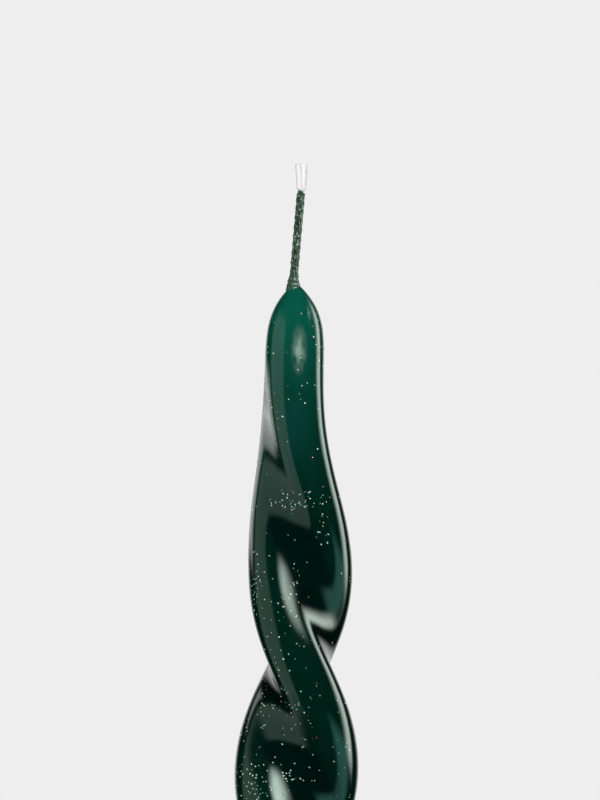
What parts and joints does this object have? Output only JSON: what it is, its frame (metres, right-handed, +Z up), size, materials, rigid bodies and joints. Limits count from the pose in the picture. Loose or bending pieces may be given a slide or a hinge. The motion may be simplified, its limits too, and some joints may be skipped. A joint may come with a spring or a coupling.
{
  "type": "spiral taper candle",
  "caption": "Tall dinner candle rolled flat and twisted to the left, with a glossy dark green over-dip, a round foot for a holder and a plaited wick with a bare tip.",
  "frame": {"origin": "middle of the flat foot that the candle stands on", "axes": "+Z up along the candle towards the wick, -Y towards the side that the picture shows, +X to the right in it"},
  "size_m": [0.032, 0.0316, 0.2684],
  "materials": {
    "core_wax": "pale undyed candle wax, cut flat at the foot",
    "skin_wax": "dark green candle wax under clear high-gloss lacquer with sparse fine glitter",
    "cotton": "plaited undyed cotton",
    "wick_wax": "thin green wax over cotton, slightly lumpy"
  },
  "bodies": {
    "root": {"wax_core": "core_wax", "dyed_skin": "skin_wax", "wick_strand_a": "cotton", "wick_strand_b": "cotton", "wick_strand_c": "cotton", "wick_wax_sleeve": "wick_wax"}
  },
  "joints": []
}
